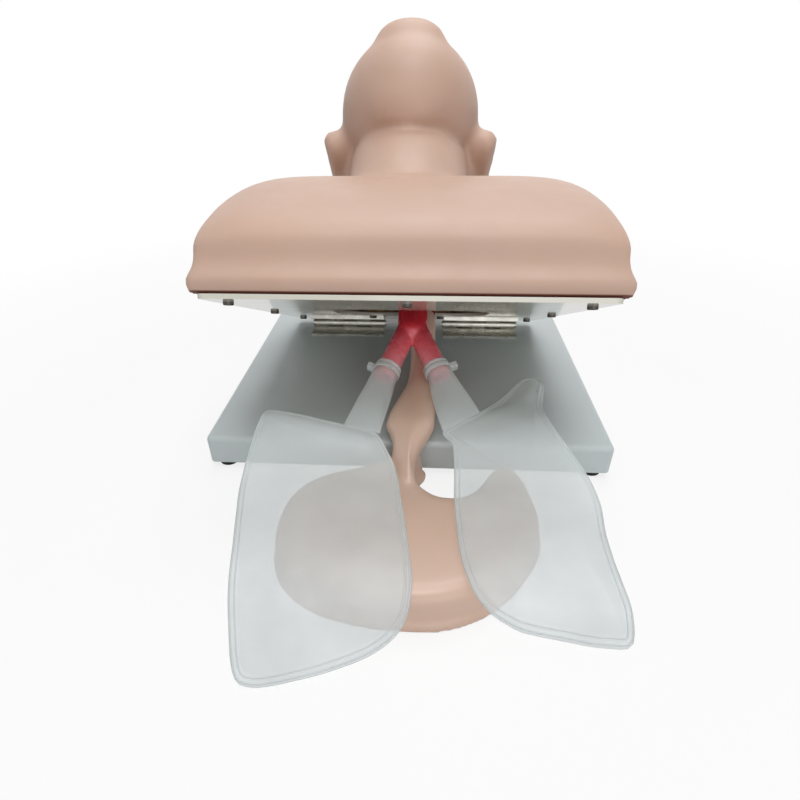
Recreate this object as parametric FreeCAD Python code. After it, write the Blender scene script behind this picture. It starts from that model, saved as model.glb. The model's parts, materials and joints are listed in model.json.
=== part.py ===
"""Intubation training manikin: a hollow bust on a hinged plate over a folded tray.

Millimetres, +Z up, table at Z = 0, +Y from the chest end towards the head. The bust
plate stands tipped open on its two hinges, and the airway, lungs and stomach hang out
through the opening in the plate. Everything is modelled from the hinge line at Y = 0
and moved at the end, so that the origin lies under the middle of the whole part.
"""
import FreeCAD, Part
import math
import os

Vector = FreeCAD.Vector
AXIS_X = Vector(1, 0, 0)
AXIS_Y = Vector(0, 1, 0)
AXIS_Z = Vector(0, 0, 1)
FIT = 0.3
PIN_FIT = 0.05

# Folded tray
tray_width = 360.0
tray_front = 250.0
tray_rear = 150.0
tray_depth = 27.0
tray_sheet = 1.5
tray_bend = 5.0
tray_lip = 26.0

# Feet
foot_height = 7.0
foot_radius = 10.0
foot_inset = 13.0
foot_sink_radius = 5.0
foot_sink_depth = 3.5
screw_radius = 2.0
screw_hole_radius = 2.3
nut_across = 7.0
nut_height = 3.2

# Hinges
axis_rise = 5.6
hinge_length = 88.0
hinge_offset = 80.0
leaf_depth = 27.0
leaf_thickness = 2.2
knuckle_radius = 4.8
knuckle_count = 5
knuckle_gap = 0.2
pin_radius = 2.4
pin_overhang = 1.6
hinge_screw_pitch = 29.0
hinge_screw_setback = 16.0
sink_head_radius = 4.0

# Bust plate
open_angle = 24.5
plate_width = 292.0
plate_front = 312.0
plate_rear = 12.0
plate_thickness = 3.5
plate_corner = 6.0
opening_width = 150.0
opening_near = 195.0
opening_far = 82.0
opening_corner = 42.0
bust_screw_offset = 135.0
bust_screw_stations = (277.0, 148.0, 18.6)
batten_width = 16.0
batten_height = 12.0
pan_head_radius = 4.0
pan_head_height = 2.4

# Saddle that carries the skull
saddle_near = 76.0
saddle_far = 62.0
saddle_half = 45.5
saddle_notch = 30.0
saddle_flange = 6.0
saddle_top_drop = 62.0

# Bust skin: length along the plate, half width and height over the plate
skin_wall = 4.0
torso_stations = (
    (311.0, 146.0, 33.0),
    (310.0, 150.0, 41.0),
    (306.0, 151.0, 48.0),
    (298.0, 151.5, 56.0),
    (275.0, 151.5, 73.0),
    (230.0, 151.5, 96.0),
    (165.0, 150.0, 113.0),
    (120.0, 148.0, 104.0),
    (70.0, 147.0, 70.0),
    (25.0, 147.0, 38.0),
    (4.0, 146.0, 26.0),
)
torso_squareness = 7.5
neck_radius = 59.0
neck_low = (152.0, 72.0)
neck_high_station = 84.0
neck_high_drop = 5.0
nape_radius = 56.0
nape_station = 84.0
nape_top_drop = 26.0

# Head, in its own axes: crown is up the head, face is out of the face
head_side = -7.0
ear_station = 66.0
ear_height = 166.0
head_tilt = 22.0
cranium = (77.0, 92.0, 92.0)
cranium_centre = (34.0, -4.0)
face = (69.0, 78.0, 62.0)
face_centre = (-32.0, 27.0)
jaw = (50.0, 34.0, 50.0)
jaw_centre = (-72.0, 22.0)
chin = (34.0, 20.0, 20.0)
chin_centre = (-86.0, 60.0)
nose_bridge = (10.0, 33.0, 13.0)
nose_bridge_centre = (-14.0, 90.0)
nose_lean = 20.0
nose_tip = (15.0, 13.0, 13.0)
nose_tip_centre = (-36.0, 94.0)
lips = (27.0, 17.0, 14.0)
lips_centre = (-64.0, 81.0)
ear = (28.0, 31.0, 19.0)
ear_turn = 14.0
ear_rounding = 6.0
ear_centre = (-8.0, -2.0)
ear_reach = 86.0
mouth = (40.0, 17.0)
mouth_centre = -64.0
mouth_depth = 62.0
mouth_reach = 130.0

# Airway inside the head and neck
palate_radius = 24.0
palate_wall = 3.0
palate_low = 20.0
palate_high = 74.0
teeth_radius = 22.0
teeth_width = 6.0
teeth_height = 8.0
teeth_centre = 52.0
tooth_count = 12
tooth_gap = 0.6
jaw_bone_radius = 28.0
jaw_bone_width = 9.0
jaw_bone_height = 12.0
jaw_bone_centre = 34.0
tongue = (15.0, 9.0, 28.0)
tongue_centre = (-77.0, 24.7)
larynx_length = 62.0
larynx_width = 48.0
larynx_drop = 30.0
larynx_height = 36.0
larynx_station = 103.0
windpipe_radius = 13.0
windpipe_bore = 9.5
windpipe_station = 120.0
windpipe_mouth = 136.5
windpipe_side = 1.6
gullet_radius = 11.5
gullet_bore = 8.5
gullet_station = 86.0
gullet_mouth = 102.0
gullet_side = 12.5
branch_slope = 52.0
branch_low = 1.0
straight_run = 36.0

# Bronchi, hanging out of the plate
bronchus_trunk = 14.5
bronchus_leg = 10.3
bronchus_wall = 2.5
trunk_length = 22.5
hip_offset = 5.0
leg_ends = ((-23.5, -191.0, 31.5), (30.0, -189.5, 32.5))

# Cable ties
tie_width = 4.0
tie_thickness = 1.4
tie_head = 7.0
tie_setback = 5.5

# Stomach
gullet_tube_radius = 12.6
gullet_tube_lead = 20.0
gullet_route = ((12.5, -150.0, 13.4), (8.0, -263.0, 13.4), (4.0, -307.0, -18.0))
flare_radius = 10.5
flare_route = ((9.0, -178.0, 13.4), (-2.0, -236.0, 13.4), (-1.0, -262.0, 10.0), (0.0, -300.0, -20.0))
stomach_height = 32.0
stomach_round = 11.0
stomach_rim = 3.0
stomach_rim_height = 7.0
stomach_outline = (
    (-14, -260), (-32, -274), (-60, -285), (-84, -305), (-93, -340), (-84, -380), (-55, -404),
    (-14, -414), (26, -414), (58, -401), (88, -370), (103, -337), (100, -300), (94, -278),
    (83, -269), (70, -279), (58, -300), (42, -311), (27, -309), (19, -294), (20, -272),
    (18, -258), (4, -252),
)

# Lungs
lung_thickness = 5.0
neck_sleeve_wall = 1.2
lung_neck_foot = ((-40.0, -259.0, 12.2), (47.0, -242.0, 14.0))
lung_foot_reach = (17.0, 20.0)
lung_outlines = (
    (
        (-25, -256), (-12, -278), (-5, -299), (-1, -325), (4, -354), (8, -385), (10, -408),
        (6, -428), (-10, -442), (-38, -453), (-66, -460.4), (-86, -462.4), (-96, -456.3),
        (-103, -434), (-112, -390), (-120, -354), (-128, -315), (-131, -280), (-130, -250),
        (-124, -230), (-108, -232), (-90, -238), (-70, -244), (-52, -249), (-37, -253),
    ),
    (
        (31, -252), (39, -264), (40, -290), (39, -325), (40, -365), (44, -396), (53, -417),
        (72, -428), (98, -433), (125, -435), (141, -434), (144, -421), (142, -395), (143, -360),
        (147, -325), (144, -293), (135, -264), (125, -238), (122, -210), (127, -184),
        (128, -168), (114, -163), (98, -175), (82, -196), (66, -219), (46, -237),
    ),
)
lung_drape = (
    (-140.0, 9.0),
    (-170.0, 10.0),
    (-200.0, 13.0),
    (-228.0, 19.0),
    (-250.0, 16.5),
    (-275.0, 9.0),
    (-305.0, 5.0),
    (-350.0, 4.5),
    (-400.0, 4.5),
    (-418.0, 1.0),
    (-438.0, -14.0),
    (-462.0, -27.5),
    (-490.0, -28.0),
)

# From the hinge line to the middle of the whole part
origin_shift = 156.5

# Worked out
tray_top = foot_height + tray_depth
hinge_height = tray_top + axis_rise
plate_under = axis_rise
plate_top = plate_under + plate_thickness
tilt = math.radians(head_tilt)
neck_high = (neck_high_station, ear_height - neck_high_drop)
nape_top = ear_height - nape_top_drop
larynx_low = ear_height - larynx_drop
larynx_high = larynx_low + larynx_height
saddle_top = ear_height - saddle_top_drop


def box(low, high):
    return Part.makeBox(high[0] - low[0], high[1] - low[1], high[2] - low[2], Vector(*low))


def rod(start, end, radius):
    start = Vector(*start)
    run = Vector(*end) - start
    return Part.makeCylinder(radius, run.Length, start, run)


def cone(start, end, first, last):
    start = Vector(*start)
    run = Vector(*end) - start
    return Part.makeCone(first, last, run.Length, start, run)


def fuse(shapes):
    whole = shapes[0].multiFuse(shapes[1:]) if len(shapes) > 1 else shapes[0]
    return whole.removeSplitter()


def cut(shape, tools):
    for tool in tools:
        shape = shape.cut(tool)
    return shape


def tube_path(points):
    """Straight runs joined by tangent arcs, each as large as its two runs allow."""
    places = [Vector(*p) for p in points]
    edges = []
    last = places[0]
    for before, corner, after in zip(places, places[1:], places[2:]):
        run_in = corner - before
        run_out = after - corner
        turn = run_in.getAngle(run_out)
        set_back = 0.45 * min(run_in.Length, run_out.Length)
        unit_in = Vector(run_in).normalize()
        unit_out = Vector(run_out).normalize()
        arc_start = corner - unit_in * set_back
        arc_end = corner + unit_out * set_back
        radius = set_back / math.tan(turn / 2)
        inward = (unit_out - unit_in).normalize()
        middle = corner + inward * (radius / math.cos(turn / 2) - radius)
        edges.append(Part.LineSegment(last, arc_start).toShape())
        edges.append(Part.Arc(arc_start, middle, arc_end).toShape())
        last = arc_end
    edges.append(Part.LineSegment(last, places[-1]).toShape())
    return Part.Wire(edges)


def sweep(points, radius):
    path = tube_path(points)
    first = Vector(*points[0])
    ring = Part.Wire([Part.makeCircle(radius, first, Vector(*points[1]) - first)])
    return path.makePipeShell([ring], True, True)


def place(station, height):
    """A place under the middle of the head, by its distances from the hinge pins."""
    return (head_side, -station, hinge_height + height)


def head_point(side, up, out):
    """A place in the head's own axes, on the closed bust."""
    station = ear_station - up * math.cos(tilt) - out * math.sin(tilt)
    height = ear_height - up * math.sin(tilt) + out * math.cos(tilt)
    return Vector(side + head_side, -station, hinge_height + height)


def head_placement(up, out):
    """Local X to the side, local Y up the head, local Z out of the face."""
    turn = FreeCAD.Rotation(AXIS_X, -head_tilt)
    return FreeCAD.Placement(head_point(0, up, out), turn)


def in_head(shape, up=0.0, out=0.0):
    shape.Placement = head_placement(up, out).multiply(shape.Placement)
    return shape


def ellipsoid(half):
    ball = Part.makeSphere(1.0)
    stretch = FreeCAD.Matrix()
    stretch.scale(half[0], half[1], half[2])
    return ball.transformGeometry(stretch)


def head_ellipsoid(half, centre, shrink=0.0):
    return in_head(ellipsoid([h - shrink for h in half]), centre[0], centre[1])


def tip_open(shape):
    """Turn a closed-bust shape up on the hinges to the open rest pose."""
    turned = shape.copy()
    turned.rotate(Vector(0, 0, hinge_height), AXIS_X, -open_angle)
    return turned


def torso_section(station, half_width, height, floor):
    """A rounded arch: up one side, round the shoulder, and its mirror image down again."""
    n = torso_squareness
    shares = (0.0, 0.25, 0.5, 0.68, 0.8, 0.88)
    corner = 0.5 ** (1 / n)
    arch_points = [((1 - f ** n) ** (1 / n), f) for f in shares] + [(corner, corner)]
    arch_points += [(f, (1 - f ** n) ** (1 / n)) for f in reversed(shares)]
    arch_points += [(-x, z) for x, z in reversed(arch_points[:-1])]
    points = []
    for x, z in arch_points:
        points.append(Vector(half_width * x, -station, hinge_height + floor + height * z))
    curve = Part.BSplineCurve()
    curve.interpolate(points)
    return Part.Wire([curve.toShape(), Part.makeLine(points[-1], points[0])])


def torso(shrink=0.0, extra=0.0):
    """The chest and shoulders, lofted along the plate; extra reaches below the plate."""
    sections = []
    first = torso_stations[0][0]
    last = torso_stations[-1][0]
    for station, half_width, height in torso_stations:
        share = (station - last) / (first - last)
        moved = station + shrink * (1 - 2 * share)
        floor = plate_top - extra
        sections.append(torso_section(moved, half_width - shrink, height - shrink + extra, floor))
    return Part.makeLoft(sections, True, False)


def bust_solid(shrink=0.0, extra=0.0):
    pieces = [torso(shrink, extra)]
    low = place(*neck_low)
    high = place(*neck_high)
    pieces.append(rod(low, high, neck_radius - shrink))
    nape_floor = place(nape_station, plate_top - extra)
    pieces.append(rod(nape_floor, place(nape_station, nape_top), nape_radius - shrink))
    pieces.append(head_ellipsoid(cranium, cranium_centre, shrink))
    pieces.append(head_ellipsoid(face, face_centre, shrink))
    pieces.append(head_ellipsoid(jaw, jaw_centre, shrink))
    pieces.append(head_ellipsoid(chin, chin_centre, shrink))
    pieces.append(head_ellipsoid(lips, lips_centre, shrink))
    return pieces


def mouth_slot(reach):
    slot = box((-mouth[0] / 2, -mouth[1] / 2, mouth_depth), (mouth[0] / 2, mouth[1] / 2, reach))
    ends = [e for e in slot.Edges if abs(e.tangentAt(e.FirstParameter).z) > 0.99]
    slot = slot.makeFillet(mouth[1] * 0.42, ends)
    return in_head(slot, mouth_centre, 0.0)


def ear_block(side):
    """An oval block that stands out of the head, rounded at its outer end."""
    oval = Part.Ellipse(Vector(0, 0, 0), ear[1], ear[2]).toShape()
    block = Part.Face(Part.Wire([oval])).extrude(Vector(0, 0, ear[0]))
    ends = [e for e in block.Edges if e.BoundBox.ZMin > ear[0] - 0.1]
    block = block.makeFillet(ear_rounding, ends)
    outward = FreeCAD.Rotation(Vector(0, 1, 0), Vector(0, 0, 1), Vector(1, 0, 0), "XYZ")
    block.Placement = FreeCAD.Placement(Vector(0, 0, 0), outward)
    block.translate(Vector(ear_reach - ear[0], 0, 0))
    block.rotate(Vector(ear_reach, 0, 0), AXIS_Y, ear_turn)
    if side < 0:
        block = block.mirror(Vector(0, 0, 0), AXIS_X)
    return in_head(block, *ear_centre)


def make_bust_skin():
    outer = bust_solid()
    bridge = ellipsoid(nose_bridge)
    bridge.Placement = FreeCAD.Placement(Vector(0, 0, 0), FreeCAD.Rotation(AXIS_X, -nose_lean))
    outer.append(in_head(bridge, *nose_bridge_centre))
    outer.append(head_ellipsoid(nose_tip, nose_tip_centre))
    for side in (-1, 1):
        outer.append(ear_block(side))
    outside = fuse(outer)
    inside = fuse(bust_solid(skin_wall, 6.0))
    shell = outside.cut(inside)
    return shell.cut(mouth_slot(mouth_reach))


def make_tray():
    half = tray_width / 2
    outer = box((-half, -tray_front, foot_height), (half, tray_rear, tray_top))
    rounded = [
        e
        for e in outer.Edges
        if min(v.Z for v in e.Vertexes) > tray_top - 0.1
        or abs(e.Vertexes[0].Z - e.Vertexes[1].Z) > 1
    ]
    outer = outer.makeFillet(tray_bend, rounded)
    s = tray_sheet
    inner = box((-half + s, -tray_front + s, foot_height + s), (half - s, tray_rear - s, tray_top - s))
    rounded = [
        e
        for e in inner.Edges
        if min(v.Z for v in e.Vertexes) > tray_top - s - 0.1
        or abs(e.Vertexes[0].Z - e.Vertexes[1].Z) > 1
    ]
    inner = inner.makeFillet(tray_bend - s, rounded)
    lip = tray_lip
    mouth_low = (-half + lip, -tray_front + lip, foot_height - 1)
    mouth_high = (half - lip, tray_rear - lip, foot_height + s + 1)
    holes = []
    for x, y in foot_places():
        holes.append(rod((x, y, foot_height - 1), (x, y, foot_height + s + 1), screw_hole_radius))
    for x, y in base_screw_places():
        holes.append(rod((x, y, tray_top - s - 1), (x, y, tray_top + 1), screw_hole_radius))
    return cut(outer, [inner, box(mouth_low, mouth_high)] + holes)


def foot_places():
    half = tray_width / 2 - foot_inset
    return [
        (x, y)
        for x in (-half, half)
        for y in (-tray_front + foot_inset, tray_rear - foot_inset)
    ]


def make_feet():
    feet = []
    for x, y in foot_places():
        foot = cone((x, y, 0), (x, y, foot_height), foot_radius - 1.5, foot_radius)
        bore = rod((x, y, -1), (x, y, foot_height + 1), screw_hole_radius)
        sink = rod((x, y, -1), (x, y, foot_sink_depth), foot_sink_radius)
        feet.append(cut(foot, [bore, sink]))
    return Part.makeCompound(feet)


def pan_screw(x, y, head_low, tip, head_up=False):
    """A pan head screw along Z with its head on head_low and its end at tip."""
    way = 1 if tip > head_low else -1
    head = rod((x, y, head_low), (x, y, head_low - way * pan_head_height), pan_head_radius)
    rim = [e for e in head.Edges if abs(e.BoundBox.ZMax - (head_low - way * pan_head_height)) < 0.01]
    rim = [e for e in rim if e.BoundBox.ZLength < 0.01]
    head = head.makeFillet(0.9, rim)
    slot_depth = 1.2
    crown = head_low - way * pan_head_height
    low = min(crown, crown + way * slot_depth) - 0.01
    high = max(crown, crown + way * slot_depth) + 0.01
    cross = [
        box((x - 2.2, y - 0.45, low), (x + 2.2, y + 0.45, high)),
        box((x - 0.45, y - 2.2, low), (x + 0.45, y + 2.2, high)),
    ]
    return cut(fuse([head, rod((x, y, head_low), (x, y, tip), screw_radius)]), cross)


def hex_nut(x, y, low):
    corners = []
    radius = nut_across / 2 / math.cos(math.pi / 6)
    for i in range(7):
        angle = math.pi / 3 * i
        corners.append(Vector(x + radius * math.cos(angle), y + radius * math.sin(angle), low))
    body = Part.Face(Part.makePolygon(corners)).extrude(Vector(0, 0, nut_height))
    return body.cut(rod((x, y, low - 1), (x, y, low + nut_height + 1), screw_radius))


def make_foot_screws():
    end = foot_height + tray_sheet + nut_height + 1.5
    return Part.makeCompound([pan_screw(x, y, foot_sink_depth, end) for x, y in foot_places()])


def make_foot_nuts():
    return Part.makeCompound([hex_nut(x, y, foot_height + tray_sheet) for x, y in foot_places()])


def hinge_centres():
    return {"left": -hinge_offset, "right": hinge_offset}


def screw_row(centre):
    return [centre + i * hinge_screw_pitch for i in (-1, 0, 1)]


def base_screw_places():
    return [(x, -hinge_screw_setback) for c in hinge_centres().values() for x in screw_row(c)]


def knuckle_spans(centre, first):
    """The knuckles of one leaf: every second fifth of the hinge, from number first."""
    pitch = hinge_length / knuckle_count
    low = centre - hinge_length / 2
    spans = []
    for i in range(first, knuckle_count, 2):
        spans.append((low + i * pitch + knuckle_gap / 2, low + (i + 1) * pitch - knuckle_gap / 2))
    return spans


def hinge_leaf(centre, first, side, bore_radius):
    """A leaf with its curled knuckles; side is -1 on the tray and 1 under the plate."""
    outer_z = hinge_height + side * axis_rise
    inner_z = outer_z - side * leaf_thickness
    low_z = min(outer_z, inner_z)
    high_z = max(outer_z, inner_z)
    half = hinge_length / 2
    pieces = [box((centre - half, -leaf_depth, low_z), (centre + half, -knuckle_radius - 0.4, high_z))]
    for start, end in knuckle_spans(centre, first):
        pieces.append(box((start, -knuckle_radius - 0.4, low_z), (end, -1.0, high_z)))
        pieces.append(rod((start, 0, hinge_height), (end, 0, hinge_height), knuckle_radius))
    leaf = fuse(pieces)
    bore = rod((centre - half - 1, 0, hinge_height), (centre + half + 1, 0, hinge_height), bore_radius)
    beyond = hinge_height + side * (axis_rise + 1)
    shave = box((centre - half - 1, -40, min(outer_z, beyond)), (centre + half + 1, 20, max(outer_z, beyond)))
    tools = [bore, shave]
    for x in screw_row(centre):
        y = -hinge_screw_setback
        tools.append(rod((x, y, low_z - 1), (x, y, high_z + 1), screw_hole_radius))
        tools.append(cone((x, y, inner_z), (x, y, outer_z), sink_head_radius + 0.1, screw_hole_radius))
    return cut(leaf, tools)


def make_pin(centre):
    half = hinge_length / 2
    stem = rod((centre - half, 0, hinge_height), (centre + half, 0, hinge_height), pin_radius)
    heads = []
    for side in (-1, 1):
        start = centre + side * half
        heads.append(rod((start, 0, hinge_height), (start + side * pin_overhang, 0, hinge_height), pin_radius + 1.2))
    return fuse([stem] + heads)


def sunk_screw(x, y, head_top, seat, tip):
    """A countersunk screw along Z; head_top is its flat face, seat the foot of its cone."""
    head = cone((x, y, head_top), (x, y, seat), sink_head_radius, screw_radius)
    way = 1 if seat > head_top else -1
    low = min(head_top, head_top + way * 1.1) - 0.01
    high = max(head_top, head_top + way * 1.1) + 0.01
    cross = [
        box((x - 2.1, y - 0.45, low), (x + 2.1, y + 0.45, high)),
        box((x - 0.45, y - 2.1, low), (x + 0.45, y + 2.1, high)),
    ]
    return cut(fuse([head, rod((x, y, seat), (x, y, tip), screw_radius)]), cross)


def make_base_screws():
    top = tray_top + leaf_thickness
    end = tray_top - tray_sheet - nut_height - 1.5
    screws = [sunk_screw(x, y, top - 0.05, tray_top + 0.1, end) for x, y in base_screw_places()]
    return Part.makeCompound(screws)


def make_base_nuts():
    low = tray_top - tray_sheet - nut_height
    return Part.makeCompound([hex_nut(x, y, low) for x, y in base_screw_places()])


def make_plate_screws():
    under = hinge_height + plate_under
    head = under - leaf_thickness + 0.05
    end = under + plate_thickness + nut_height + 1.5
    screws = [sunk_screw(x, y, head, under - 0.1, end) for x, y in base_screw_places()]
    return Part.makeCompound(screws)


def make_plate_nuts():
    low = hinge_height + plate_top
    return Part.makeCompound([hex_nut(x, y, low) for x, y in base_screw_places()])


def bust_screw_places():
    places = [(0.0, -bust_screw_stations[0])]
    for station in bust_screw_stations:
        places.append((-bust_screw_offset, -station))
        places.append((bust_screw_offset, -station))
    return places


def upright_edges(shape):
    return [e for e in shape.Edges if abs(e.Vertexes[0].Z - e.Vertexes[-1].Z) > 1]


def make_plate():
    half = plate_width / 2
    low_z = hinge_height + plate_under
    high_z = hinge_height + plate_top
    plate = box((-half, -plate_front, low_z), (half, plate_rear, high_z))
    plate = plate.makeFillet(plate_corner, upright_edges(plate))
    wide = opening_width / 2
    hole = box((-wide, -opening_near, low_z - 1), (wide, -opening_far, high_z + 1))
    hole = hole.makeFillet(opening_corner, upright_edges(hole))
    tools = [hole]
    for x, y in bust_screw_places() + base_screw_places() + saddle_screw_places():
        tools.append(rod((x, y, low_z - 1), (x, y, high_z + 1), screw_hole_radius))
    return cut(plate, tools)


def make_battens():
    z0 = hinge_height + plate_top
    z1 = z0 + batten_height
    side = bust_screw_offset
    w = batten_width / 2
    far = -torso_stations[-1][0] - skin_wall - 2
    near = -bust_screw_stations[0] - w - 1
    strips = []
    for s in (-1, 1):
        low_x = min(s * (side - w), s * (side + w - 7))
        high_x = max(s * (side - w), s * (side + w - 7))
        strips.append(box((low_x, near, z0), (high_x, far, z1)))
    front = -bust_screw_stations[0]
    strips.append(box((-60, front - w, z0), (60, front + w, z1)))
    tools = []
    for x, y in bust_screw_places():
        tools.append(rod((x, y, z0 - 1), (x, y, z0 + 10), screw_radius))
    return Part.makeCompound([cut(strip, tools) for strip in strips])


def make_bust_screws():
    under = hinge_height + plate_under
    end = hinge_height + plate_top + 10
    return Part.makeCompound([pan_screw(x, y, under, end) for x, y in bust_screw_places()])


def saddle_screw_places():
    y = -(saddle_near + saddle_far) / 2
    return [(head_side - saddle_half + 8, y), (head_side + saddle_half - 8, y)]


def skull_outside(gap):
    return head_ellipsoid(cranium, cranium_centre, skin_wall + gap)


def make_skull():
    outside = skull_outside(FIT)
    inside = head_ellipsoid(cranium, cranium_centre, skin_wall + FIT + 3.0)
    shell = outside.cut(inside)
    keep = box((-100, -26.9, -120), (100, 140, 58))
    shell = shell.common(in_head(keep))
    nape = box(
        (head_side - saddle_notch + 2, -140, hinge_height + plate_top),
        (head_side + saddle_notch - 2, -56, hinge_height + larynx_high - 22),
    )
    return max(shell.cut(nape).Solids, key=lambda solid: solid.Volume)


def make_saddle():
    low_z = hinge_height + plate_top
    high_z = hinge_height + saddle_top
    block = box((-saddle_half, -saddle_near, low_z), (saddle_half, -saddle_far, high_z))
    notch = box((-saddle_notch, -saddle_near - 1, low_z + saddle_flange), (saddle_notch, -saddle_far + 1, high_z + 1))
    block.translate(Vector(head_side, 0, 0))
    notch.translate(Vector(head_side, 0, 0))
    tools = [notch, skull_outside(0.0)]
    for x, y in saddle_screw_places():
        tools.append(rod((x, y, low_z - 1), (x, y, low_z + 12), screw_radius))
    solids = cut(block, tools).Solids
    return max(solids, key=lambda s: s.Volume)


def make_saddle_screws():
    under = hinge_height + plate_under
    end = hinge_height + plate_top + 12
    return Part.makeCompound([pan_screw(x, y, under, end) for x, y in saddle_screw_places()])


def arch(radius, width, low, high, back):
    """A horseshoe in the head's axes: open at the back, closed towards the lips."""
    outer = Part.makeCylinder(radius, high - low, Vector(0, low, 0), AXIS_Y)
    inner = Part.makeCylinder(radius - width, high - low, Vector(0, low, 0), AXIS_Y)
    ring = outer.cut(inner)
    front = ring.common(box((-radius, low, 0), (radius, high, radius)))
    legs = [
        box((s * radius if s < 0 else radius - width, low, -back), (s * radius + width if s < 0 else radius, high, 0))
        for s in (-1, 1)
    ]
    return fuse([front] + legs)


def tooth_row(radius, width, low, high, back):
    """An arch of teeth with narrow gaps between them, joined at the gum side."""
    row = arch(radius, width, low, high, back)
    gum = 2.0
    tools = []
    for i in range(1, tooth_count):
        angle = math.pi * i / tooth_count
        slit = box((0, low - 1, -tooth_gap / 2), (radius + 1, high - gum, tooth_gap / 2))
        slit.rotate(Vector(0, 0, 0), AXIS_Y, -math.degrees(angle))
        tools.append(slit)
    return cut(row, tools)


def make_palate():
    roof_low = mouth_centre + mouth[1] / 2 + teeth_height + FIT
    length = palate_high - palate_low
    dome = Part.makeCylinder(palate_radius, length, Vector(0, 0, palate_low), AXIS_Z)
    vault = Part.makeCylinder(palate_radius - palate_wall, length + 2, Vector(0, 0, palate_low - 1), AXIS_Z)
    shell = dome.cut(vault)
    shell = shell.common(box((-palate_radius, 0, 0), (palate_radius, palate_radius, 200)))
    shell.translate(Vector(0, roof_low - 4, 0))
    nose_rounding = Part.makeCylinder(palate_radius + 8, 60, Vector(0, roof_low - 10, teeth_centre - 6), AXIS_Y)
    block = box((-palate_radius - 9, roof_low - 10, -60), (palate_radius + 9, roof_low + 50, teeth_centre - 6))
    return in_head(shell.common(fuse([nose_rounding, block])))


def make_upper_teeth():
    low = mouth_centre + mouth[1] / 2 - 4.0
    row = tooth_row(teeth_radius, teeth_width, low, low + teeth_height, 14.0)
    row.translate(Vector(0, 0, teeth_centre))
    return in_head(row)


def make_lower_teeth():
    low = mouth_centre + mouth[1] / 2 - 4.0
    row = tooth_row(teeth_radius, teeth_width, low, low + teeth_height, 14.0)
    row = row.mirror(Vector(0, mouth_centre, 0), AXIS_Y)
    row.translate(Vector(0, 0, teeth_centre - 1.2))
    return in_head(row)


def make_lower_jaw():
    high = mouth_centre - mouth[1] / 2 + 4.0 - teeth_height - FIT
    bone = arch(jaw_bone_radius, jaw_bone_width, high - jaw_bone_height, high, 22.0)
    bone.translate(Vector(0, 0, jaw_bone_centre))
    return in_head(bone)


def make_tongue():
    body = ellipsoid(tongue)
    return in_head(body, *tongue_centre)


def larynx_box(shrink, low, high):
    half = larynx_width / 2 - shrink
    return box(
        (head_side - half, -larynx_station - larynx_length / 2 + shrink, hinge_height + low),
        (head_side + half, -larynx_station + larynx_length / 2 - shrink, hinge_height + high),
    )


def make_larynx():
    """Larynx moulding: two outlets below, a throat above with the epiglottis leaf in it."""
    block = larynx_box(0.0, larynx_low, larynx_high)
    block = block.makeFillet(10, upright_edges(block))
    floor = larynx_low + 10
    wind = rod(place(windpipe_station, larynx_low - 1), place(windpipe_station, larynx_high + 1), windpipe_bore)
    start = place(gullet_station, larynx_low - 1)
    end = place(gullet_station, larynx_high + 1)
    food = rod(start, end, gullet_bore)
    food.translate(Vector(gullet_side, 0, 0))
    throat = larynx_box(5.0, floor + 12, larynx_high + 1)
    throat = throat.makeFillet(8, upright_edges(throat))
    body = cut(block, [wind, food, throat])
    leaf_low = hinge_height + floor + 10
    leaf_y = -windpipe_station - windpipe_bore - 3.5
    leaf = box((head_side - 8, leaf_y, leaf_low), (head_side + 8, leaf_y + 2.5, leaf_low + 16))
    leaf = leaf.makeFillet(1.0, [e for e in leaf.Edges if e.Length < 3])
    leaf.rotate(Vector(0, leaf_y, leaf_low), AXIS_X, -14)
    return fuse([body, leaf])


def branch_direction():
    """The way the two tubes point where they leave the plate, on the closed bust."""
    slope = math.radians(branch_slope)
    return Vector(0, -math.cos(slope), -math.sin(slope))


def branch_mouth(station, side):
    low = place(station, plate_under + branch_low)
    return Vector(side, low[1], low[2])


def airway_route(station, mouth_station, side):
    """Straight down from the larynx, then forward to a mouth in the plate opening."""
    mouth_place = branch_mouth(mouth_station, side)
    back = branch_direction() * ((station - mouth_station) / math.cos(math.radians(branch_slope)))
    corner = mouth_place + back
    top = Vector(*place(station, larynx_low)) + Vector(side, 0, 0)
    return [tuple(top), tuple(top - Vector(0, 0, straight_run)), tuple(corner), tuple(mouth_place)]


def hollow_tube(points, radius, bore):
    return sweep(points, radius).cut(sweep(points, bore))


def make_windpipe():
    route = airway_route(windpipe_station, windpipe_mouth, windpipe_side)
    return hollow_tube(route, windpipe_radius, windpipe_bore)


def make_gullet():
    route = airway_route(gullet_station, gullet_mouth, gullet_side)
    return hollow_tube(route, gullet_radius, gullet_bore)


def tipped_point(point):
    turn = FreeCAD.Rotation(AXIS_X, -open_angle)
    centre = Vector(0, 0, hinge_height)
    return turn.multVec(Vector(point) - centre) + centre


def tipped_branch():
    return FreeCAD.Rotation(AXIS_X, -open_angle).multVec(branch_direction())


def on_tray(point):
    """A place given from the hinge line and the tray's top."""
    return (point[0], point[1], point[2] + tray_top)


def trunk_top():
    return tipped_point(branch_mouth(windpipe_mouth, windpipe_side)) + tipped_branch() * FIT


def fork():
    return trunk_top() + tipped_branch() * trunk_length


def leg_axis(index):
    """Hip and tip of one bronchus."""
    outward = -1 if index == 0 else 1
    return fork() + Vector(outward * hip_offset, 0, 0), Vector(*on_tray(leg_ends[index]))


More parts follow.
